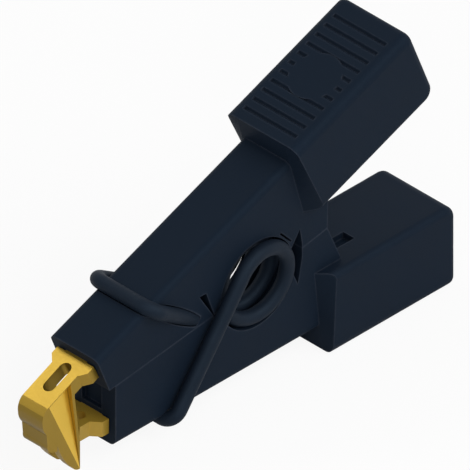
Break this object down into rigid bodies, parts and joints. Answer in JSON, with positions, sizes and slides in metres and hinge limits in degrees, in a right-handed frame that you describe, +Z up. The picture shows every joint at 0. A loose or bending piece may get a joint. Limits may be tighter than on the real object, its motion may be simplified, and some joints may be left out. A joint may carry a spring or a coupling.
{
  "type": "micro test clip",
  "caption": "Small sprung test clip: two levers on a wire torsion spring, ribbed finger pads, gilt hooked jaws and a pin socket in each tail.",
  "frame": {"origin": "middle of the lower finger pad's outer face, on which the closed clip rests", "axes": "+X along the lower lever towards the tails, +Y along the hinge axis, +Z up through the levers"},
  "size_m": [0.0299, 0.0056, 0.0182],
  "materials": {
    "housing": "fine satin moulding",
    "spring_wire": "black-coated spring steel",
    "gilt": "gold plate, satin",
    "contact_metal": "plain"
  },
  "bodies": {
    "lower": {"lower_lever": "housing", "lower_jaw": "gilt", "lower_contact_strip": "contact_metal", "lower_pin_socket": "contact_metal", "spring_coil": "spring_wire", "spring_lower_leg": "spring_wire"},
    "upper": {"upper_lever": "housing", "upper_jaw": "gilt", "upper_contact_strip": "contact_metal", "upper_pin_socket": "contact_metal", "spring_upper_leg": "spring_wire"}
  },
  "joints": [
    {"name": "clip_hinge", "type": "hinge", "parent": "lower", "child": "upper", "pos_m": [-0.00426, 0, 0.00779], "axis": [0, 1, 0], "range_deg": [0, 28], "stiffness_Nm_per_rad": 0.006, "springref_deg": -68.75, "deforming": ["spring_coil"]}
  ]
}
